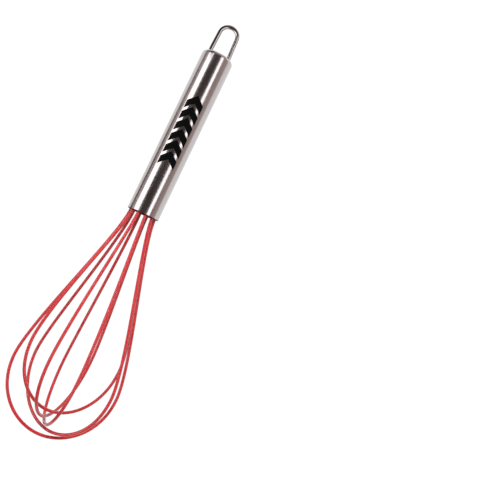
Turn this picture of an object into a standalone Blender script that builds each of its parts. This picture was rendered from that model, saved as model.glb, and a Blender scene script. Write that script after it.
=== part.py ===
"""A balloon whisk: a stainless tube handle with a wire hanging loop, and five silicone-coated wire loops.

It is modelled upright in its own axes, with the mouth of the handle at the origin, +Z along the handle
towards the hanging loop, and the balloon of wires below. At the end the whole whisk is laid on a table:
+X runs from the balloon to the hanging loop, +Z is up, and the origin is under its middle on the table.
Lengths are in metres and angles in degrees.
"""

import math
from collections import namedtuple

import bmesh
import bpy
from mathutils import Matrix, Vector

# Handle
HANDLE_DIAMETER = 0.019
HANDLE_LENGTH = 0.1016
HANDLE_WALL = 0.0006
CAP_CORNER = 0.0025
CAP_WALL = 0.0009
CAP_SKIRT = 0.0004
SPIGOT_DEPTH = 0.0032
JOINT_GAP = 0.0003
SLIP_GAP = 0.0002

# Hanging loop: a staple of round wire whose feet turn in under the cap
HANGER_WIRE = 0.0026
HANGER_REACH = 0.0201
HANGER_WIDTH_AT_CAP = 0.0117
HANGER_WIDTH_AT_ARCH = 0.0107
HANGER_FOOT_DEPTH = 0.0030
HANGER_FOOT_BEND = 0.0018
HANGER_FOOT_END = 0.0017
HANGER_HOLE = 0.0029

# Wires: a steel core in a silicone coating
COATING_DIAMETER = 0.0018
COATING_WALL = 0.00033
CORE_DIAMETER = 0.00096
CORE_INSIDE = 0.0335
COATING_INSIDE = 0.0077

# What holds the wires in the handle
WIRE_RING_RADIUS = 0.0073
PLUG_RECESS = 0.0020
PLUG_THICKNESS = 0.0060
RESIN_THICKNESS = 0.0215
PLUG_HOLE = 0.0021
PLUG_EDGE = 0.0004
RESIN_HOLE = 0.00124
RESIN_EDGE = 0.0002

# Shape that all the loops share, as shares of each loop's own size
LEG_START = 0.169
LEG_END = 0.201
BOW_SIDE = 0.620
BOW_BOTTOM = 0.490

# One loop: the angle of its two holes in the plug and the angle that its plane settles at, both counted from
# the level one; the depth of its tip below the mouth; its half width and the depth where it is widest; how
# far its tip and its middle lean to the side.
Loop = namedtuple("Loop", "slot plane tip half_width widest tip_lean mid_lean")
LOOPS = (
    Loop(0, 0, tip=0.1350, half_width=0.0308, widest=0.1008, tip_lean=0.0007, mid_lean=0.0003),
    Loop(-33.5, -38.8, tip=0.1208, half_width=0.0315, widest=0.0874, tip_lean=0.0030, mid_lean=0.0001),
    Loop(37.7, 35.9, tip=0.1310, half_width=0.0313, widest=0.0976, tip_lean=0.0032, mid_lean=0.0016),
    Loop(-70.9, -72.8, tip=0.1245, half_width=0.0300, widest=0.0915, tip_lean=-0.0002, mid_lean=-0.0002),
    Loop(74.3, 75.4, tip=0.1278, half_width=0.0300, widest=0.0961, tip_lean=0.0006, mid_lean=0.0012),
)

# Fineness of the solids
ROUND_STEPS = 48
HOLE_SIDES = 16
LEG_POINTS = 10
BOW_POINTS = 14
ARCH_POINTS = 14
CORNER_POINTS = 6
DRILL_OVERSHOOT = 0.001
WELD_DISTANCE = 0.000001

HANDLE_RADIUS = HANDLE_DIAMETER / 2
BORE_RADIUS = HANDLE_RADIUS - HANDLE_WALL
SEAM_HEIGHT = HANDLE_LENGTH - CAP_CORNER - CAP_SKIRT


def clear_scene():
    for item in list(bpy.data.objects):
        bpy.data.objects.remove(item)


def new_collection(name):
    made = bpy.data.collections.new(name)
    bpy.context.scene.collection.children.link(made)
    return made


def principled(name, colour, roughness, metallic):
    made = bpy.data.materials.new(name)
    made.use_nodes = True
    shader = made.node_tree.nodes["Principled BSDF"]
    shader.inputs["Base Color"].default_value = (*colour, 1.0)
    shader.inputs["Roughness"].default_value = roughness
    shader.inputs["Metallic"].default_value = metallic
    return made


def add_object(name, data, collection, material=None):
    made = bpy.data.objects.new(name, data)
    collection.objects.link(made)
    if material:
        data.materials.append(material)
    return made


def shade_round(item, sharp_angle=35):
    item.data.shade_smooth()
    item.data.set_sharp_from_angle(angle=math.radians(sharp_angle))


def turned(name, outline, collection, material, closed):
    """A solid of revolution about Z. The outline's (radius, height) points run down its outer side."""
    mesh = bpy.data.meshes.new(name)
    points = [(radius, 0.0, height) for radius, height in outline]
    edges = [(i, i + 1) for i in range(len(points) - 1)]
    if closed:
        edges.append((len(points) - 1, 0))
    mesh.from_pydata(points, edges, [])
    made = add_object(name, mesh, collection, material)
    screw = made.modifiers.new("Screw", "SCREW")
    screw.axis = "Z"
    screw.steps = screw.render_steps = ROUND_STEPS
    screw.use_merge_vertices = True
    screw.merge_threshold = 0.00001
    return made


def corner(centre_radius, centre_height, bend, points=CORNER_POINTS):
    """(radius, height) points round an outer corner, from its top down to its side."""
    angles = [math.radians(90 - 90 * i / points) for i in range(points + 1)]
    return [(centre_radius + bend * math.cos(a), centre_height + bend * math.sin(a)) for a in angles]


def bezier(start, first, second, end, count):
    """count + 1 points of a cubic curve, from start to end."""
    made = []
    for i in range(count + 1):
        t = i / count
        u = 1 - t
        made.append(start * u**3 + first * (3 * u * u * t) + second * (3 * u * t * t) + end * t**3)
    return made


def tube(name, path, diameter, collection, material=None, sides=8, capped=True):
    """A round wire along the path."""
    curve = bpy.data.curves.new(name, "CURVE")
    curve.dimensions = "3D"
    curve.bevel_depth = diameter / 2
    curve.bevel_resolution = sides // 2 - 2
    curve.use_fill_caps = capped
    spline = curve.splines.new("POLY")
    spline.points.add(len(path) - 1)
    for point, place in zip(spline.points, path):
        point.co = (*place, 1.0)
    return add_object(name, curve, collection, material)


def as_mesh(item):
    """Replaces a curve object by the mesh it draws, with its caps welded to its sides."""
    name = item.name
    graph = bpy.context.evaluated_depsgraph_get()
    mesh = bpy.data.meshes.new_from_object(item.evaluated_get(graph))
    cleaner = bmesh.new()
    cleaner.from_mesh(mesh)
    bmesh.ops.remove_doubles(cleaner, verts=cleaner.verts, dist=WELD_DISTANCE)
    cleaner.to_mesh(mesh)
    cleaner.free()
    made = bpy.data.objects.new(name, mesh)
    item.users_collection[0].objects.link(made)
    made.matrix_world = item.matrix_world
    bpy.data.objects.remove(item)
    made.name = name
    mesh.name = name
    return made


def drill(item, places, diameter, low, high, cutters):
    """Cuts upright round holes through an object between two heights, one at each (x, y) place."""
    depth = high - low + 2 * DRILL_OVERSHOOT
    cutter_shape = bmesh.new()
    for x, y in places:
        bmesh.ops.create_cone(
            cutter_shape,
            cap_ends=True,
            segments=HOLE_SIDES,
            radius1=diameter / 2,
            radius2=diameter / 2,
            depth=depth,
            matrix=Matrix.Translation((x, y, (low + high) / 2)),
        )
    mesh = bpy.data.meshes.new(item.name + "_holes")
    cutter_shape.to_mesh(mesh)
    cutter_shape.free()
    cutter = add_object(item.name + "_holes", mesh, cutters)
    cutter.hide_render = True
    cutter.display_type = "WIRE"
    cut = item.modifiers.new("Holes", "BOOLEAN")
    cut.operation = "DIFFERENCE"
    cut.object = cutter
    return cutter


def handle_tube(parts, steel):
    """The drawn tube that is held in the hand, open at the mouth."""
    outline = [
        (HANDLE_RADIUS, SEAM_HEIGHT),
        (HANDLE_RADIUS, 0.0),
        (BORE_RADIUS, 0.0),
        (BORE_RADIUS, SEAM_HEIGHT),
    ]
    return turned("handle_tube", outline, parts, steel, closed=True)


def end_cap(parts, cutters, steel):
    """The pressed cap that closes the tube's far end, with a spigot inside the tube and two holes."""
    seat = SEAM_HEIGHT + JOINT_GAP
    spigot = BORE_RADIUS - SLIP_GAP
    under = HANDLE_LENGTH - CAP_WALL
    inner_bend = CAP_CORNER - CAP_WALL
    inside = spigot - HANDLE_WALL
    outline = [(0.0, HANDLE_LENGTH)]
    outline += corner(HANDLE_RADIUS - CAP_CORNER, HANDLE_LENGTH - CAP_CORNER, CAP_CORNER)
    outline += [(HANDLE_RADIUS, seat), (spigot, seat), (spigot, seat - SPIGOT_DEPTH)]
    outline += [(inside, seat - SPIGOT_DEPTH)]
    outline += reversed(corner(inside - inner_bend, under - inner_bend, inner_bend))
    outline += [(0.0, under)]
    made = turned("end_cap", outline, parts, steel, closed=False)
    places = [(0.0, side * HANGER_WIDTH_AT_CAP / 2) for side in (-1, 1)]
    cutter = drill(made, places, HANGER_HOLE, under, HANDLE_LENGTH, cutters)
    return made, cutter


def hanging_loop(parts, steel):
    """The fixed wire loop: up one leg, round the arch, down the other, with both feet turned in."""
    arch = HANGER_WIDTH_AT_ARCH / 2
    foot = HANGER_WIDTH_AT_CAP / 2
    top = HANDLE_LENGTH + HANGER_REACH - HANGER_WIRE / 2 - arch
    low = HANDLE_LENGTH - CAP_WALL - HANGER_FOOT_DEPTH
    bend = HANGER_FOOT_BEND
    leg = [Vector((0.0, HANGER_FOOT_END, low))]
    for i in range(CORNER_POINTS + 1):
        angle = math.radians(90 * i / CORNER_POINTS)
        leg.append(Vector((0.0, foot - bend + bend * math.sin(angle), low + bend * (1 - math.cos(angle)))))
    leg.append(Vector((0.0, foot, HANDLE_LENGTH)))
    turns = [math.radians(180 * i / ARCH_POINTS) for i in range(ARCH_POINTS + 1)]
    bow = [Vector((0.0, arch * math.cos(a), top + arch * math.sin(a))) for a in turns]
    other = [Vector((0.0, -point.y, point.z)) for point in reversed(leg)]
    return tube("hanging_loop", leg + bow + other, HANGER_WIRE, parts, steel, sides=12)


def loop_point(loop, across, depth):
    """A point of a loop, from its distance across the loop's own plane and its depth below the mouth."""
    settled = min(max(depth / loop.widest, 0.0), 1.0)
    angle = math.radians(loop.slot + (loop.plane - loop.slot) * settled)
    share = max(depth / loop.tip, 0.0)
    lean = loop.tip_lean * share**2 + loop.mid_lean * 4 * share * (1 - share)
    return Vector((-across * math.sin(angle), -across * math.cos(angle) - lean, -depth))


def half_outline(loop):
    """(across, depth) points of one leg of a loop and its half of the bow, from the mouth to the tip."""
    side = Vector((loop.half_width, loop.widest))
    leg = bezier(
        Vector((WIRE_RING_RADIUS, 0.0)),
        Vector((WIRE_RING_RADIUS, LEG_START * loop.widest)),
        side - Vector((0.0, LEG_END * loop.widest)),
        side,
        LEG_POINTS,
    )
    bow = bezier(
        side,
        side + Vector((0.0, BOW_SIDE * (loop.tip - loop.widest))),
        Vector((BOW_BOTTOM * loop.half_width, loop.tip)),
        Vector((0.0, loop.tip)),
        BOW_POINTS,
    )
    return leg + bow[1:]


def loop_path(loop, inside):
    """The whole centreline of a loop, with both ends standing the given height inside the handle."""
    half = [Vector((WIRE_RING_RADIUS, -inside))] + half_outline(loop)
    one = [loop_point(loop, -across, depth) for across, depth in half]
    other = [loop_point(loop, across, depth) for across, depth in reversed(half[:-1])]
    return one + other


def silicone_coating(number, loop, parts, silicone):
    """The silicone skin of a loop, open at both ends, which stand in the plug's holes."""
    path = loop_path(loop, COATING_INSIDE)
    made = as_mesh(tube(f"silicone_coating_{number}", path, COATING_DIAMETER, parts, capped=False))
    made.data.materials.append(silicone)
    solid = made.modifiers.new("Wall", "SOLIDIFY")
    solid.thickness = COATING_WALL
    solid.offset = -1
    solid.use_even_offset = True
    return made


def wire_core(number, loop, parts, steel):
    """The spring steel wire inside a coating, whose bare ends run on through the resin."""
    return tube(f"wire_core_{number}", loop_path(loop, CORE_INSIDE), CORE_DIAMETER, parts, steel)


def wire_places():
    """(x, y) of every leg where it stands in the handle."""
    tops = [loop_point(loop, side * WIRE_RING_RADIUS, 0.0) for loop in LOOPS for side in (-1, 1)]
    return [(top.x, top.y) for top in tops]


def drilled_disc(name, low, high, hole, edge, parts, cutters, material):
    """A round plug in the bore with a hole for each leg, and a small bevel at its lower rim."""
    radius = BORE_RADIUS - SLIP_GAP
    outline = [(0.0, high), (radius, high), (radius, low + edge), (radius - edge, low), (0.0, low)]
    made = turned(name, outline, parts, material, closed=False)
    cutter = drill(made, wire_places(), hole, low, high, cutters)
    return made, cutter


def points_in_axes(items):
    """Every vertex of the objects as Blender evaluates them."""
    graph = bpy.context.evaluated_depsgraph_get()
    found = []
    for item in items:
        shown = item.evaluated_get(graph)
        mesh = shown.to_mesh()
        found += [shown.matrix_world @ vertex.co for vertex in mesh.vertices]
        shown.to_mesh_clear()
    return found


def laid_down(tilt):
    """Turns the upright whisk onto its side, with the handle's far end lower by tilt."""
    return Matrix.Rotation(math.radians(90 + tilt), 4, "Y")


def lowest(points, turn):
    return min((turn @ point).z for point in points)


def resting_tilt(balloon, handle):
    """The tilt at which the balloon and the handle's end touch one level surface."""
    low, high = 0.0, 20.0
    for _ in range(40):
        tilt = (low + high) / 2
        turn = laid_down(tilt)
        if lowest(handle, turn) > lowest(balloon, turn):
            low = tilt
        else:
            high = tilt
    return tilt


def lay_on_table(carrier, coatings, handle, everything):
    """Rests the whisk on z = 0 and centres it over the origin."""
    bpy.context.view_layer.update()
    tilt = resting_tilt(points_in_axes(coatings), points_in_axes(handle))
    turn = laid_down(tilt)
    places = [turn @ point for point in points_in_axes(everything)]
    carrier.rotation_euler = turn.to_euler()
    carrier.location = (
        -(min(p.x for p in places) + max(p.x for p in places)) / 2,
        -(min(p.y for p in places) + max(p.y for p in places)) / 2,
        -min(p.z for p in places),
    )


def main():
    clear_scene()
    parts = new_collection("balloon_whisk")
    cutters = new_collection("cutters")
    brushed = principled("brushed_steel", (0.62, 0.60, 0.58), 0.22, 1.0)
    bright = principled("bright_steel", (0.68, 0.66, 0.65), 0.12, 1.0)
    spring = principled("spring_steel", (0.55, 0.55, 0.55), 0.30, 1.0)
    silicone = principled("red_silicone", (0.74, 0.035, 0.04), 0.38, 0.0)
    nylon = principled("black_nylon", (0.012, 0.012, 0.013), 0.45, 0.0)
    epoxy = principled("amber_epoxy", (0.45, 0.33, 0.16), 0.25, 0.0)

    tube_part = handle_tube(parts, brushed)
    cap, cap_holes = end_cap(parts, cutters, brushed)
    hanger = hanging_loop(parts, bright)
    plug_top = PLUG_RECESS + PLUG_THICKNESS
    plug, plug_holes = drilled_disc(
        "wire_plug", PLUG_RECESS, plug_top, PLUG_HOLE, PLUG_EDGE, parts, cutters, nylon
    )
    resin_low = plug_top + JOINT_GAP
    resin_top = resin_low + RESIN_THICKNESS
    resin, resin_holes = drilled_disc(
        "potting_resin", resin_low, resin_top, RESIN_HOLE, RESIN_EDGE, parts, cutters, epoxy
    )
    coatings = []
    cores = []
    for number, loop in enumerate(LOOPS, start=1):
        coatings.append(silicone_coating(number, loop, parts, silicone))
        cores.append(wire_core(number, loop, parts, spring))
    for item in (tube_part, cap, plug, resin, *coatings):
        shade_round(item)

    everything = [tube_part, cap, hanger, plug, resin, *coatings, *cores]
    carrier = bpy.data.objects.new("whisk_axis", None)
    parts.objects.link(carrier)
    for item in (*everything, cap_holes, plug_holes, resin_holes):
        item.parent = carrier
    lay_on_table(carrier, coatings, [tube_part, cap], everything)


main()
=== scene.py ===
"""Looks for the balloon whisk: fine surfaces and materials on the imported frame, a stage and a camera.

Every piece is made upright in the whisk's own axes (mouth of the handle at the origin, +Z along the handle
towards the hanging loop, +Y across) and then placed by WHISK_AXES, which is read from the frame.
Lengths are in metres and angles in degrees.
"""

import math
from collections import namedtuple

import bmesh
import bpy
from mathutils import Matrix, Vector


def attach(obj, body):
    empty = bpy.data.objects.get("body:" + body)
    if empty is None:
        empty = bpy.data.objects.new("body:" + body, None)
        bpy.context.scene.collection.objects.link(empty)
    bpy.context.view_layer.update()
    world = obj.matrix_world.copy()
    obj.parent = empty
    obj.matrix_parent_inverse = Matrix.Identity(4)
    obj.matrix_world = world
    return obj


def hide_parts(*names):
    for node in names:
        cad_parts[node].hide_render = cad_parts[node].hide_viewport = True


# The shape of the wires, as in the CAD model
Loop = namedtuple("Loop", "slot plane tip half_width widest tip_lean mid_lean")
LOOPS = (
    Loop(0, 0, tip=0.1350, half_width=0.0308, widest=0.1008, tip_lean=0.0007, mid_lean=0.0003),
    Loop(-33.5, -38.8, tip=0.1208, half_width=0.0315, widest=0.0874, tip_lean=0.0030, mid_lean=0.0001),
    Loop(37.7, 35.9, tip=0.1310, half_width=0.0313, widest=0.0976, tip_lean=0.0032, mid_lean=0.0016),
    Loop(-70.9, -72.8, tip=0.1245, half_width=0.0300, widest=0.0915, tip_lean=-0.0002, mid_lean=-0.0002),
    Loop(74.3, 75.4, tip=0.1278, half_width=0.0300, widest=0.0961, tip_lean=0.0006, mid_lean=0.0012),
)
WIRE_RING_RADIUS = 0.0073
COATING_RADIUS = 0.0009
COATING_WALL = 0.00033
COATING_INSIDE = 0.0077

# How far the curve's handles reach at the ends of a leg and of a bow, as shares of the loop's own lengths
LEG_START = 0.169
LEG_END = 0.201
BOW_SIDE = 0.620
BOW_BOTTOM = 0.490

LEG_POINTS = 40
BOW_POINTS = 36

# Handle and hanging loop
HANDLE_WALL = 0.0006
CAP_CORNER = 0.0025
CAP_WALL = 0.0009
RIM_ROUND = 0.00012
HANGER_RADIUS = 0.0013
HANGER_WIDTH_AT_CAP = 0.0117
HANGER_WIDTH_AT_ARCH = 0.0107
HANGER_FOOT_DEPTH = 0.0030
HANGER_FOOT_BEND = 0.0018
HANGER_FOOT_END = 0.0017
HANGER_HOLE_RADIUS = 0.00142
HANGER_BEND_STEPS = 12
HANGER_ARCH_STEPS = 48
HOLE_SIDES = 48
HOLE_TURN = 1.3
HOLE_CUTTER_LENGTH = 0.004
HOLE_CUTTER_DROP = 0.0005
TURN_STEPS = 160

# Points closer than this are joined, in turned pieces and in tubes
TURN_MERGE = 0.000001
TUBE_MERGE = 0.0000001

# The printed mark, a row of chevrons on the handle's back
MARK_START = 0.0287
MARK_COUNT = 6
MARK_WIDTH = 0.0103
MARK_STROKE = 0.0050
MARK_GAP = 0.0020
MARK_RISE = 0.0045
INK_THICKNESS = 0.00003

# Camera, in the whisk's lying axes from the mouth: along the handle, across to the left, up off its back
CAMERA_PLACE = (-0.0245, -0.0210, 0.3992)
CAMERA_TARGET = (0.0077, -0.0643, 0.0)
HANDLE_LEAN_IN_VIEW = 24.9
CAMERA_LENS = 50.0

# Where noise is taken to start and end when it drives a value or a colour
NOISE_SPAN = (0.25, 0.75)
COLOUR_SPAN = (0.3, 0.7)

# The floor
FLOOR_HALF_SIDE = 6.0
FLOOR_GLOW = 0.98
FLOOR_ALBEDO = 0.08

# The grey card, on the floor between two distances to the left of the whisk's middle
GREY_CARD_REACH = (0.068, 0.6)
GREY_CARD_LENGTH = 2.4
GREY_CARD_LIFT = 0.0005
GREY_CARD_GLOW = 0.09

# The black card, upright beside the hanging loop
BLACK_CARD_PLACE = (0.151, 0.035, 0.025)
BLACK_CARD_LENGTH = 0.060
BLACK_CARD_HEIGHT = 0.048
BLACK_CARD_GLOW = 0.02

# The softboxes, which are seen in reflections alone, each at an angle from straight up towards +Y
Softbox = namedtuple("Softbox", "name zenith width radiance")
SOFTBOXES = (
    Softbox("softbox_left", zenith=53.8, width=0.583, radiance=2.6),
    Softbox("softbox_right", zenith=-35.3, width=0.33, radiance=2.4),
)
SOFTBOX_LENGTH = 1.8

# The square lamps, which aren't mirrored, each with the direction it stands in
SquareLamp = namedtuple("SquareLamp", "name towards side radiance")
SQUARE_LAMPS = (
    SquareLamp("key_lamp", towards=(0.64, 0.08, 0.77), side=0.4, radiance=17.5),
    SquareLamp("fill_lamp", towards=(-0.6, -0.1, 0.8), side=0.5, radiance=3.5),
)

# The studio round the whisk: its glow fades between two heights on the unit sphere
STUDIO_TINT = (1.0, 0.78, 0.72)
STUDIO_FADE = (0.35, 0.85)
STUDIO_GLOW = (0.48, 0.06)

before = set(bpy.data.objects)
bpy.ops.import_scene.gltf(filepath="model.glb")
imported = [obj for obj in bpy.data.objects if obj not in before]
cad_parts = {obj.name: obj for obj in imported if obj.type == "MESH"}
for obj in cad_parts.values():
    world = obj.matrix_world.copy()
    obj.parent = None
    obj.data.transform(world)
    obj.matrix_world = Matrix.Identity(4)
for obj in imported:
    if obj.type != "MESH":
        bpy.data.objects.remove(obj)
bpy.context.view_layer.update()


def middle_of_box(points):
    return Vector([(min(p[i] for p in points) + max(p[i] for p in points)) / 2 for i in range(3)])


def whisk_axes():
    """The matrix from the upright whisk to the row frame, from the two ends of the handle tube."""
    points = [vertex.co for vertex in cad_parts["handle_tube"].data.vertices]
    centre = middle_of_box(points)
    mouth = middle_of_box([p for p in points if p.x < centre.x])
    seam = middle_of_box([p for p in points if p.x > centre.x])
    along = (seam - mouth).normalized()
    across = Vector((0.0, 1.0, 0.0))
    down = across.cross(along).normalized()
    made = Matrix((down, across, along)).transposed().to_4x4()
    made.translation = mouth
    return made


WHISK_AXES = whisk_axes()


def highest_corner(node):
    """The largest x, y and z of a CAD node in the upright whisk's axes."""
    back = WHISK_AXES.inverted()
    points = [back @ vertex.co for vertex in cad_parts[node].data.vertices]
    return Vector([max(p[i] for p in points) for i in range(3)])


HANDLE_RADIUS = highest_corner("handle_tube").y
HANDLE_LENGTH = highest_corner("end_cap").z
HANGER_TOP = highest_corner("hanging_loop").z
BORE_RADIUS = HANDLE_RADIUS - HANDLE_WALL


# ---------------------------------------------------------------- materials


def new_material(name, colour, roughness, metallic=0.0):
    made = bpy.data.materials.new(name)
    made.use_nodes = True
    shader = made.node_tree.nodes["Principled BSDF"]
    shader.inputs["Base Color"].default_value = (*colour, 1.0)
    shader.inputs["Roughness"].default_value = roughness
    shader.inputs["Metallic"].default_value = metallic
    return made, shader


def add_node(material, kind, **settings):
    made = material.node_tree.nodes.new(kind)
    for key, value in settings.items():
        setattr(made, key, value)
    return made


def join(material, source, target):
    material.node_tree.links.new(source, target)


def grainy_noise(material, grain, detail):
    """Noise in the upright whisk's axes, with its own size of grain in metres along each axis."""
    place = add_node(material, "ShaderNodeTexCoord")
    mapping = add_node(material, "ShaderNodeMapping", vector_type="TEXTURE")
    mapping.inputs["Location"].default_value = WHISK_AXES.to_translation()
    mapping.inputs["Rotation"].default_value = WHISK_AXES.to_euler()
    mapping.inputs["Scale"].default_value = grain
    noise = add_node(material, "ShaderNodeTexNoise")
    noise.inputs["Scale"].default_value = 1.0
    noise.inputs["Detail"].default_value = detail
    noise.inputs["Roughness"].default_value = 0.6
    join(material, place.outputs["Object"], mapping.inputs["Vector"])
    join(material, mapping.outputs["Vector"], noise.inputs["Vector"])
    return noise


def drive_range(material, source, low, high, target):
    """Sends a 0 to 1 value to a socket as low to high."""
    spread = add_node(material, "ShaderNodeMapRange")
    spread.inputs["From Min"].default_value = NOISE_SPAN[0]
    spread.inputs["From Max"].default_value = NOISE_SPAN[1]
    spread.inputs["To Min"].default_value = low
    spread.inputs["To Max"].default_value = high
    join(material, source, spread.inputs["Value"])
    join(material, spread.outputs["Result"], target)


def drive_colour(material, source, low, high, target):
    """Sends a 0 to 1 value to a socket as a colour between low and high."""
    ramp = add_node(material, "ShaderNodeValToRGB")
    ramp.color_ramp.elements[0].position = COLOUR_SPAN[0]
    ramp.color_ramp.elements[1].position = COLOUR_SPAN[1]
    ramp.color_ramp.elements[0].color = (*low, 1.0)
    ramp.color_ramp.elements[1].color = (*high, 1.0)
    join(material, source, ramp.inputs["Fac"])
    join(material, ramp.outputs["Color"], target)


def add_bump(material, shader, source, distance, strength):
    bump = add_node(material, "ShaderNodeBump")
    bump.inputs["Distance"].default_value = distance
    bump.inputs["Strength"].default_value = strength
    join(material, source, bump.inputs["Height"])
    join(material, bump.outputs["Normal"], shader.inputs["Normal"])


def polished_tube_steel():
    """Satin-polished stainless steel with a fine grain along the handle and faint handling marks."""
    made, shader = new_material("handle_steel_satin", (0.51, 0.48, 0.48), 0.2, 1.0)
    grain = grainy_noise(made, (0.0004, 0.0004, 0.03), 2.0)
    smudge = grainy_noise(made, (0.011, 0.011, 0.022), 3.0)
    drive_range(made, smudge.outputs["Fac"], 0.17, 0.25, shader.inputs["Roughness"])
    dark = (0.48, 0.45, 0.45)
    light = (0.54, 0.51, 0.51)
    drive_colour(made, grain.outputs["Fac"], dark, light, shader.inputs["Base Color"])
    add_bump(made, shader, grain.outputs["Fac"], 0.000002, 0.15)
    return made


def bore_steel_with_painted_shade():
    """The sawn rim and the unpolished bore of the tube: rough steel whose near-black colour is painted
    shade of the recess behind the wires.
    """
    # The near-black base colour is painted shade; the rough, uneven roughness is the rim's and bore's own
    # unpolished finish.
    made, shader = new_material("bore_steel_painted_shade", (0.05, 0.03, 0.03), 0.6, 0.3)
    grain = grainy_noise(made, (0.0003, 0.0003, 0.0003), 3.0)
    drive_range(made, grain.outputs["Fac"], 0.5, 0.75, shader.inputs["Roughness"])
    return made


def bright_wire_steel():
    """Drawn and polished stainless wire."""
    made, shader = new_material("hanger_steel_bright", (0.50, 0.47, 0.47), 0.12, 1.0)
    grain = grainy_noise(made, (0.0005, 0.0005, 0.007), 2.0)
    drive_range(made, grain.outputs["Fac"], 0.09, 0.17, shader.inputs["Roughness"])
    add_bump(made, shader, grain.outputs["Fac"], 0.0000015, 0.12)
    return made


def spring_steel():
    """The bare core wires, with the dull marks of drawing."""
    made, shader = new_material("core_steel_drawn", (0.50, 0.50, 0.50), 0.3, 1.0)
    grain = grainy_noise(made, (0.0002, 0.0002, 0.001), 2.0)
    drive_range(made, grain.outputs["Fac"], 0.24, 0.36, shader.inputs["Roughness"])
    return made


def red_silicone():
    """Smooth moulded silicone: a satin skin, a little light under it, and a very fine moulding texture."""
    made, shader = new_material("silicone_red_satin", (0.57, 0.02, 0.026), 0.22)
    shader.inputs["Specular IOR Level"].default_value = 0.6
    shader.inputs["Subsurface Weight"].default_value = 0.08
    shader.inputs["Subsurface Radius"].default_value = (0.0012, 0.0003, 0.0002)
    shader.inputs["Subsurface Scale"].default_value = 0.5
    skin = grainy_noise(made, (0.0008, 0.0008, 0.0020), 3.0)
    mottle = grainy_noise(made, (0.007, 0.007, 0.016), 2.0)
    dark = (0.54, 0.022, 0.027)
    light = (0.63, 0.034, 0.040)
    drive_colour(made, mottle.outputs["Fac"], dark, light, shader.inputs["Base Color"])
    drive_range(made, skin.outputs["Fac"], 0.20, 0.25, shader.inputs["Roughness"])
    add_bump(made, shader, skin.outputs["Fac"], 0.000008, 0.06)
    return made


def black_nylon():
    """Moulded black nylon with a fine grain."""
    made, shader = new_material("plug_nylon_black", (0.012, 0.011, 0.011), 0.45)
    grain = grainy_noise(made, (0.0003, 0.0003, 0.0003), 3.0)
    drive_range(made, grain.outputs["Fac"], 0.38, 0.55, shader.inputs["Roughness"])
    add_bump(made, shader, grain.outputs["Fac"], 0.00002, 0.5)
    return made


def cast_resin():
    """Amber potting resin with slow streaks from mixing."""
    made, shader = new_material("resin_amber", (0.45, 0.33, 0.16), 0.22)
    streaks = grainy_noise(made, (0.002, 0.002, 0.008), 3.0)
    dark = (0.38, 0.26, 0.11)
    light = (0.50, 0.37, 0.19)
    drive_colour(made, streaks.outputs["Fac"], dark, light, shader.inputs["Base Color"])
    return made


def black_ink():
    """Pad-printed black ink, slightly uneven."""
    made, shader = new_material("mark_ink_black", (0.002, 0.002, 0.002), 0.6)
    shader.inputs["Specular IOR Level"].default_value = 0.05
    grain = grainy_noise(made, (0.0007, 0.0007, 0.0007), 3.0)
    drive_range(made, grain.outputs["Fac"], 0.5, 0.7, shader.inputs["Roughness"])
    return made


# ---------------------------------------------------------------- building blocks


def mesh_object(name, mesh, material):
    made = bpy.data.objects.new(name, mesh)
    bpy.context.scene.collection.objects.link(made)
    made.data.materials.append(material)
    return made


def smooth(item, sharp_angle=40):
    item.data.shade_smooth()
    item.data.set_sharp_from_angle(angle=math.radians(sharp_angle))


def place_on_whisk(item):
    """Turns an upright piece to where the CAD whisk lies and lets it ride on it."""
    item.data.transform(WHISK_AXES)
    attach(item, "root")


def apply_modifiers(item):
    """Bakes the modifiers of an object into its mesh."""
    graph = bpy.context.evaluated_depsgraph_get()
    mesh = bpy.data.meshes.new_from_object(item.evaluated_get(graph))
    item.modifiers.clear()
    item.data = mesh


def turned(name, outline, material):
    """A solid of revolution about Z from (radius, height) points that run down its outer side."""
    mesh = bpy.data.meshes.new(name)
    points = [(radius, 0.0, height) for radius, height in outline]
    edges = [(i, i + 1) for i in range(len(points) - 1)]
    mesh.from_pydata(points, edges, [])
    made = mesh_object(name, mesh, material)
    screw = made.modifiers.new("Screw", "SCREW")
    screw.steps = screw.render_steps = TURN_STEPS
    screw.use_merge_vertices = True
    screw.merge_threshold = TURN_MERGE
    apply_modifiers(made)
    return made


def arc(radius_at, height_at, bend, first, last, count):
    """(radius, height) points of an arc between two angles, counted from straight outwards."""
    angles = [math.radians(first + (last - first) * i / count) for i in range(count + 1)]
    return [(radius_at + bend * math.cos(a), height_at + bend * math.sin(a)) for a in angles]


def bezier(start, first, second, end, count):
    """Points along a cubic curve from start to end, with its two handles between them."""
    made = []
    for i in range(count + 1):
        t = i / count
        u = 1 - t
        made.append(start * u**3 + first * (3 * u * u * t) + second * (3 * u * t * t) + end * t**3)
    return made


def tube(name, path, radius, material, sides, wall=None):
    """A round wire along the path as a closed mesh, or a hollow sleeve where it has a wall."""
    curve = bpy.data.curves.new(name, "CURVE")
    curve.dimensions = "3D"
    curve.bevel_depth = radius
    curve.bevel_resolution = sides // 2 - 2
    curve.use_fill_caps = wall is None
    spline = curve.splines.new("POLY")
    spline.points.add(len(path) - 1)
    for point, place in zip(spline.points, path):
        point.co = (*place, 1.0)
    guide = bpy.data.objects.new(name + "_guide", curve)
    bpy.context.scene.collection.objects.link(guide)
    graph = bpy.context.evaluated_depsgraph_get()
    mesh = bpy.data.meshes.new_from_object(guide.evaluated_get(graph))
    bpy.data.objects.remove(guide)
    cleaner = bmesh.new()
    cleaner.from_mesh(mesh)
    bmesh.ops.remove_doubles(cleaner, verts=cleaner.verts, dist=TUBE_MERGE)
    bmesh.ops.recalc_face_normals(cleaner, faces=cleaner.faces)
    cleaner.to_mesh(mesh)
    cleaner.free()
    mesh.materials.clear()
    made = mesh_object(name, mesh, material)
    if wall:
        skin = made.modifiers.new("Wall", "SOLIDIFY")
        skin.thickness = wall
        skin.offset = -1
        apply_modifiers(made)
    smooth(made)
    return made


# ---------------------------------------------------------------- handle


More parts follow.
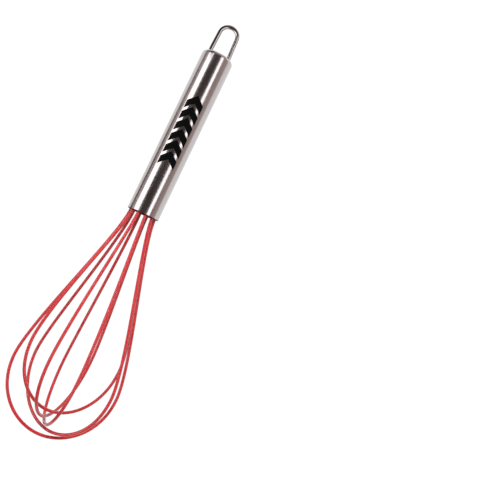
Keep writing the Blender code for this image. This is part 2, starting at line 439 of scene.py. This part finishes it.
def handle_outline():
    """The tube and cap as one shell, from the cap's middle down to the mouth and back up the bore."""
    edge = HANDLE_RADIUS - CAP_CORNER
    shoulder = HANDLE_LENGTH - CAP_CORNER
    under = HANDLE_LENGTH - CAP_WALL
    inner_bend = CAP_CORNER - CAP_WALL
    points = [(0.0, HANDLE_LENGTH), (edge * 0.5, HANDLE_LENGTH)]
    points += arc(edge, shoulder, CAP_CORNER, 90, 0, count=16)
    points += [(HANDLE_RADIUS, shoulder * share) for share in (0.75, 0.5, 0.25)]
    points += arc(HANDLE_RADIUS - RIM_ROUND, RIM_ROUND, RIM_ROUND, 0, -90, count=4)
    points += arc(BORE_RADIUS + RIM_ROUND, RIM_ROUND, RIM_ROUND, -90, -180, count=4)
    points += arc(BORE_RADIUS - inner_bend, under - inner_bend, inner_bend, 0, 90, count=8)
    points += [(0.0, under)]
    return points


def leg_cutters():
    """Two upright rods that cut the loop's holes. HOLE_TURN keeps their corners off the cap's edges."""
    shape = bmesh.new()
    turn = Matrix.Rotation(math.radians(HOLE_TURN), 4, "Z")
    for side in (-1, 1):
        centre = (0.0, side * HANGER_WIDTH_AT_CAP / 2, HANDLE_LENGTH - HOLE_CUTTER_DROP)
        bmesh.ops.create_cone(
            shape,
            cap_ends=True,
            segments=HOLE_SIDES,
            radius1=HANGER_HOLE_RADIUS,
            radius2=HANGER_HOLE_RADIUS,
            depth=HOLE_CUTTER_LENGTH,
            matrix=Matrix.Translation(centre) @ turn,
        )
    mesh = bpy.data.meshes.new("leg_cutters")
    shape.to_mesh(mesh)
    shape.free()
    made = bpy.data.objects.new("leg_cutters", mesh)
    bpy.context.scene.collection.objects.link(made)
    return made


def in_the_bore(place):
    """Whether a point of the upright handle lies on its sawn rim or inside it, below the cap."""
    inside = math.hypot(place.x, place.y) < BORE_RADIUS + RIM_ROUND / 2
    return place.z < RIM_ROUND or (inside and place.z < HANDLE_LENGTH - CAP_WALL)


def build_handle(steel, bore):
    """The shell with the loop's two holes, in polished steel outside, and on the rim and inside in rough
    steel darkened with painted shade.
    """
    made = turned("handle_shell", handle_outline(), steel)
    cutter = leg_cutters()
    cut = made.modifiers.new("Holes", "BOOLEAN")
    cut.operation = "DIFFERENCE"
    cut.object = cutter
    apply_modifiers(made)
    bpy.data.objects.remove(cutter)
    smooth(made, 30)
    made.data.materials.append(bore)
    # The rim and bore faces take the second material, whose dark colour is painted shade.
    for face in made.data.polygons:
        face.material_index = int(in_the_bore(face.center))
    place_on_whisk(made)
    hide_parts("handle_tube", "end_cap")


def hanger_path():
    """The middle of the hanging loop's wire: a bent foot, up one leg, round the arch and down the other."""
    arch = HANGER_WIDTH_AT_ARCH / 2
    foot = HANGER_WIDTH_AT_CAP / 2
    top = HANGER_TOP - HANGER_RADIUS - arch
    low = HANDLE_LENGTH - CAP_WALL - HANGER_FOOT_DEPTH
    bend = HANGER_FOOT_BEND
    leg = [Vector((0.0, HANGER_FOOT_END, low))]
    for i in range(HANGER_BEND_STEPS + 1):
        angle = math.radians(90 * i / HANGER_BEND_STEPS)
        across = foot - bend + bend * math.sin(angle)
        height = low + bend * (1 - math.cos(angle))
        leg.append(Vector((0.0, across, height)))
    leg.append(Vector((0.0, foot, HANDLE_LENGTH)))
    turns = [math.radians(180 * i / HANGER_ARCH_STEPS) for i in range(HANGER_ARCH_STEPS + 1)]
    bow = [Vector((0.0, arch * math.cos(a), top + arch * math.sin(a))) for a in turns]
    other = [Vector((0.0, -point.y, point.z)) for point in reversed(leg)]
    return leg + bow + other


def build_hanger(steel):
    made = tube("hanging_loop_wire", hanger_path(), HANGER_RADIUS, steel, sides=28)
    place_on_whisk(made)
    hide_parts("hanging_loop")


def chevron(name, start, ink):
    """One printed chevron: a thin skin on the round of the handle that points to the hanging loop."""
    rows = 2
    columns = 24
    shape = bmesh.new()
    grid = []
    for i in range(rows + 1):
        line = []
        for j in range(columns + 1):
            across = 2 * j / columns - 1
            angle = across * MARK_WIDTH / 2 / HANDLE_RADIUS
            height = start + MARK_STROKE * i / rows + MARK_RISE * (1 - abs(across))
            down = -HANDLE_RADIUS * math.cos(angle)
            side = HANDLE_RADIUS * math.sin(angle)
            line.append(shape.verts.new((down, side, height)))
        grid.append(line)
    for low, high in zip(grid, grid[1:]):
        for j in range(columns):
            shape.faces.new((low[j], high[j], high[j + 1], low[j + 1]))
    mesh = bpy.data.meshes.new(name)
    shape.to_mesh(mesh)
    shape.free()
    made = mesh_object(name, mesh, ink)
    skin = made.modifiers.new("Skin", "SOLIDIFY")
    skin.thickness = INK_THICKNESS
    skin.offset = 1
    apply_modifiers(made)
    smooth(made)
    place_on_whisk(made)


def build_mark(ink):
    for number in range(MARK_COUNT):
        start = MARK_START + number * (MARK_STROKE + MARK_GAP)
        chevron(f"mark_chevron_{number + 1}", start, ink)


# ---------------------------------------------------------------- wires


def loop_point(loop, across, depth):
    """A point of a loop: its plane turns from its slot's angle to its own, and it leans to one side."""
    settled = min(max(depth / loop.widest, 0.0), 1.0)
    angle = math.radians(loop.slot + (loop.plane - loop.slot) * settled)
    share = max(depth / loop.tip, 0.0)
    lean = loop.tip_lean * share**2 + loop.mid_lean * 4 * share * (1 - share)
    return Vector((-across * math.sin(angle), -across * math.cos(angle) - lean, -depth))


def half_outline(loop):
    """(across, depth) points of one leg of a loop and its half of the bow, from the mouth to the tip."""
    side = Vector((loop.half_width, loop.widest))
    leg = bezier(
        Vector((WIRE_RING_RADIUS, 0.0)),
        Vector((WIRE_RING_RADIUS, LEG_START * loop.widest)),
        side - Vector((0.0, LEG_END * loop.widest)),
        side,
        LEG_POINTS,
    )
    bow = bezier(
        side,
        side + Vector((0.0, BOW_SIDE * (loop.tip - loop.widest))),
        Vector((BOW_BOTTOM * loop.half_width, loop.tip)),
        Vector((0.0, loop.tip)),
        BOW_POINTS,
    )
    return leg + bow[1:]


def loop_path(loop):
    """The whole loop's middle line, from inside the handle round the tip and back."""
    half = [Vector((WIRE_RING_RADIUS, -COATING_INSIDE))] + half_outline(loop)
    one = [loop_point(loop, -across, depth) for across, depth in half]
    other = [loop_point(loop, across, depth) for across, depth in reversed(half[:-1])]
    return one + other


def build_wires(silicone):
    for number, loop in enumerate(LOOPS, start=1):
        made = tube(
            f"silicone_sleeve_{number}",
            loop_path(loop),
            COATING_RADIUS,
            silicone,
            sides=20,
            wall=COATING_WALL,
        )
        place_on_whisk(made)
        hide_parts(f"silicone_coating_{number}")


def dress_cad_nodes(nylon, resin, core):
    """The inner pieces keep their CAD shapes and get their materials."""
    for name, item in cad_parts.items():
        if name.startswith("wire_core"):
            material = core
        elif name == "wire_plug":
            material = nylon
        elif name == "potting_resin":
            material = resin
        else:
            continue
        item.data.materials.clear()
        item.data.materials.append(material)


# ---------------------------------------------------------------- stage


def lying(along, across, up):
    """A point given from the mouth along the handle, across to the left and up off its back."""
    return WHISK_AXES @ Vector((-up, across, along))


def emitter(name, colour, strength, albedo=0.0):
    """A matt stage material that also glows a little, like lit paper."""
    made, shader = new_material(name, (albedo, albedo, albedo), 1.0)
    shader.inputs["Specular IOR Level"].default_value = 0.0
    shader.inputs["Emission Color"].default_value = (*colour, 1.0)
    shader.inputs["Emission Strength"].default_value = strength
    return made


def stage_panel(name, centre, along, across, material):
    """A flat rectangle round a centre, with its two half sides as vectors."""
    shape = bmesh.new()
    turn = Matrix((along, across, along.cross(across).normalized())).transposed().to_4x4()
    place = Matrix.Translation(centre) @ turn
    bmesh.ops.create_grid(shape, x_segments=1, y_segments=1, size=1.0, matrix=place)
    mesh = bpy.data.meshes.new(name)
    shape.to_mesh(mesh)
    shape.free()
    panel = mesh_object(name, mesh, material)
    return panel


def build_floor():
    """A white floor. It doesn't fill in the shaded sides of the wires, but the steel mirrors it."""
    white = emitter("floor_white", (1.0, 1.0, 1.0), FLOOR_GLOW, albedo=FLOOR_ALBEDO)
    along = Vector((FLOOR_HALF_SIDE, 0.0, 0.0))
    across = Vector((0.0, FLOOR_HALF_SIDE, 0.0))
    floor = stage_panel("floor", Vector(), along, across, white)
    floor.visible_diffuse = False


def only_mirrored(panel):
    """Leaves a card to be seen in reflections alone."""
    panel.visible_camera = False
    panel.visible_diffuse = False
    panel.visible_transmission = False
    panel.visible_shadow = False


def build_cards():
    """A grey card that edges the left of the handle, and a black one beside the hanging loop."""
    near, far = GREY_CARD_REACH
    only_mirrored(
        stage_panel(
            "grey_card",
            Vector((0.0, (near + far) / 2, GREY_CARD_LIFT)),
            Vector((GREY_CARD_LENGTH / 2, 0.0, 0.0)),
            Vector((0.0, (far - near) / 2, 0.0)),
            emitter("card_grey", (1.0, 0.95, 0.92), GREY_CARD_GLOW),
        )
    )
    only_mirrored(
        stage_panel(
            "black_card",
            Vector(BLACK_CARD_PLACE),
            Vector((BLACK_CARD_LENGTH / 2, 0.0, 0.0)),
            Vector((0.0, 0.0, BLACK_CARD_HEIGHT / 2)),
            emitter("card_black", (1.0, 0.9, 0.9), BLACK_CARD_GLOW),
        )
    )


def lamp(name, towards, width, length, radiance, mirrored):
    """A lamp 1 m from the whisk and facing it, which gives either reflections or diffuse light."""
    data = bpy.data.lights.new(name, "AREA")
    data.shape = "RECTANGLE"
    data.size = length
    data.size_y = width
    data.energy = radiance * math.pi * width * length
    made = bpy.data.objects.new(name, data)
    bpy.context.scene.collection.objects.link(made)
    back = towards.normalized()
    side = Vector((0.0, 1.0, 0.0)).cross(back).normalized()
    made.matrix_world = Matrix((side, back.cross(side), back)).transposed().to_4x4()
    made.location = back
    made.visible_diffuse = not mirrored
    made.visible_glossy = mirrored


def beside(zenith):
    """The direction at an angle from straight up towards +Y."""
    angle = math.radians(zenith)
    return Vector((0.0, math.sin(angle), math.cos(angle)))


def build_lights():
    """The softboxes that the handle mirrors as white bands, and the lamps that shape the wires."""
    for box in SOFTBOXES:
        lamp(box.name, beside(box.zenith), box.width, SOFTBOX_LENGTH, box.radiance, mirrored=True)
    for spot in SQUARE_LAMPS:
        lamp(spot.name, Vector(spot.towards), spot.side, spot.side, spot.radiance, mirrored=False)


def build_world():
    """A dim studio for the lamps to stand in. The camera sees a white backdrop instead."""
    world = bpy.data.worlds.new("studio")
    world.use_nodes = True
    nodes = world.node_tree.nodes
    links = world.node_tree.links
    dim = nodes["Background"]
    dim.inputs["Color"].default_value = (*STUDIO_TINT, 1.0)
    place = nodes.new("ShaderNodeTexCoord")
    split = nodes.new("ShaderNodeSeparateXYZ")
    fade = nodes.new("ShaderNodeMapRange")
    fade.inputs["From Min"].default_value = STUDIO_FADE[0]
    fade.inputs["From Max"].default_value = STUDIO_FADE[1]
    fade.inputs["To Min"].default_value = STUDIO_GLOW[0]
    fade.inputs["To Max"].default_value = STUDIO_GLOW[1]
    links.new(place.outputs["Generated"], split.inputs["Vector"])
    links.new(split.outputs["Z"], fade.inputs["Value"])
    links.new(fade.outputs["Result"], dim.inputs["Strength"])
    white = nodes.new("ShaderNodeBackground")
    white.inputs["Color"].default_value = (1.0, 1.0, 1.0, 1.0)
    ray = nodes.new("ShaderNodeLightPath")
    mix = nodes.new("ShaderNodeMixShader")
    links.new(ray.outputs["Is Camera Ray"], mix.inputs["Fac"])
    links.new(dim.outputs["Background"], mix.inputs[1])
    links.new(white.outputs["Background"], mix.inputs[2])
    links.new(mix.outputs["Shader"], nodes["World Output"].inputs["Surface"])
    bpy.context.scene.world = world
    bpy.context.scene.view_settings.view_transform = "Standard"


def build_camera():
    """The photograph's camera, placed from the whisk, with the handle leaning as far as it does there."""
    data = bpy.data.cameras.new("camera")
    data.lens = CAMERA_LENS
    data.sensor_width = 36.0
    data.clip_start = 0.01
    data.clip_end = 50.0
    made = bpy.data.objects.new("camera", data)
    bpy.context.scene.collection.objects.link(made)
    place = lying(*CAMERA_PLACE)
    back = (place - lying(*CAMERA_TARGET)).normalized()
    handle = WHISK_AXES.to_3x3() @ Vector((0.0, 0.0, 1.0))
    handle = (handle - back * handle.dot(back)).normalized()
    lean = math.radians(HANDLE_LEAN_IN_VIEW)
    up = handle * math.cos(lean) + back.cross(handle) * math.sin(lean)
    turn = Matrix((up.cross(back), up, back)).transposed().to_4x4()
    made.matrix_world = Matrix.Translation(place) @ turn
    bpy.context.scene.camera = made


def main():
    build_handle(polished_tube_steel(), bore_steel_with_painted_shade())
    build_hanger(bright_wire_steel())
    build_mark(black_ink())
    build_wires(red_silicone())
    dress_cad_nodes(black_nylon(), cast_resin(), spring_steel())
    build_floor()
    build_cards()
    build_world()
    build_lights()
    build_camera()
    bpy.context.view_layer.update()


main()
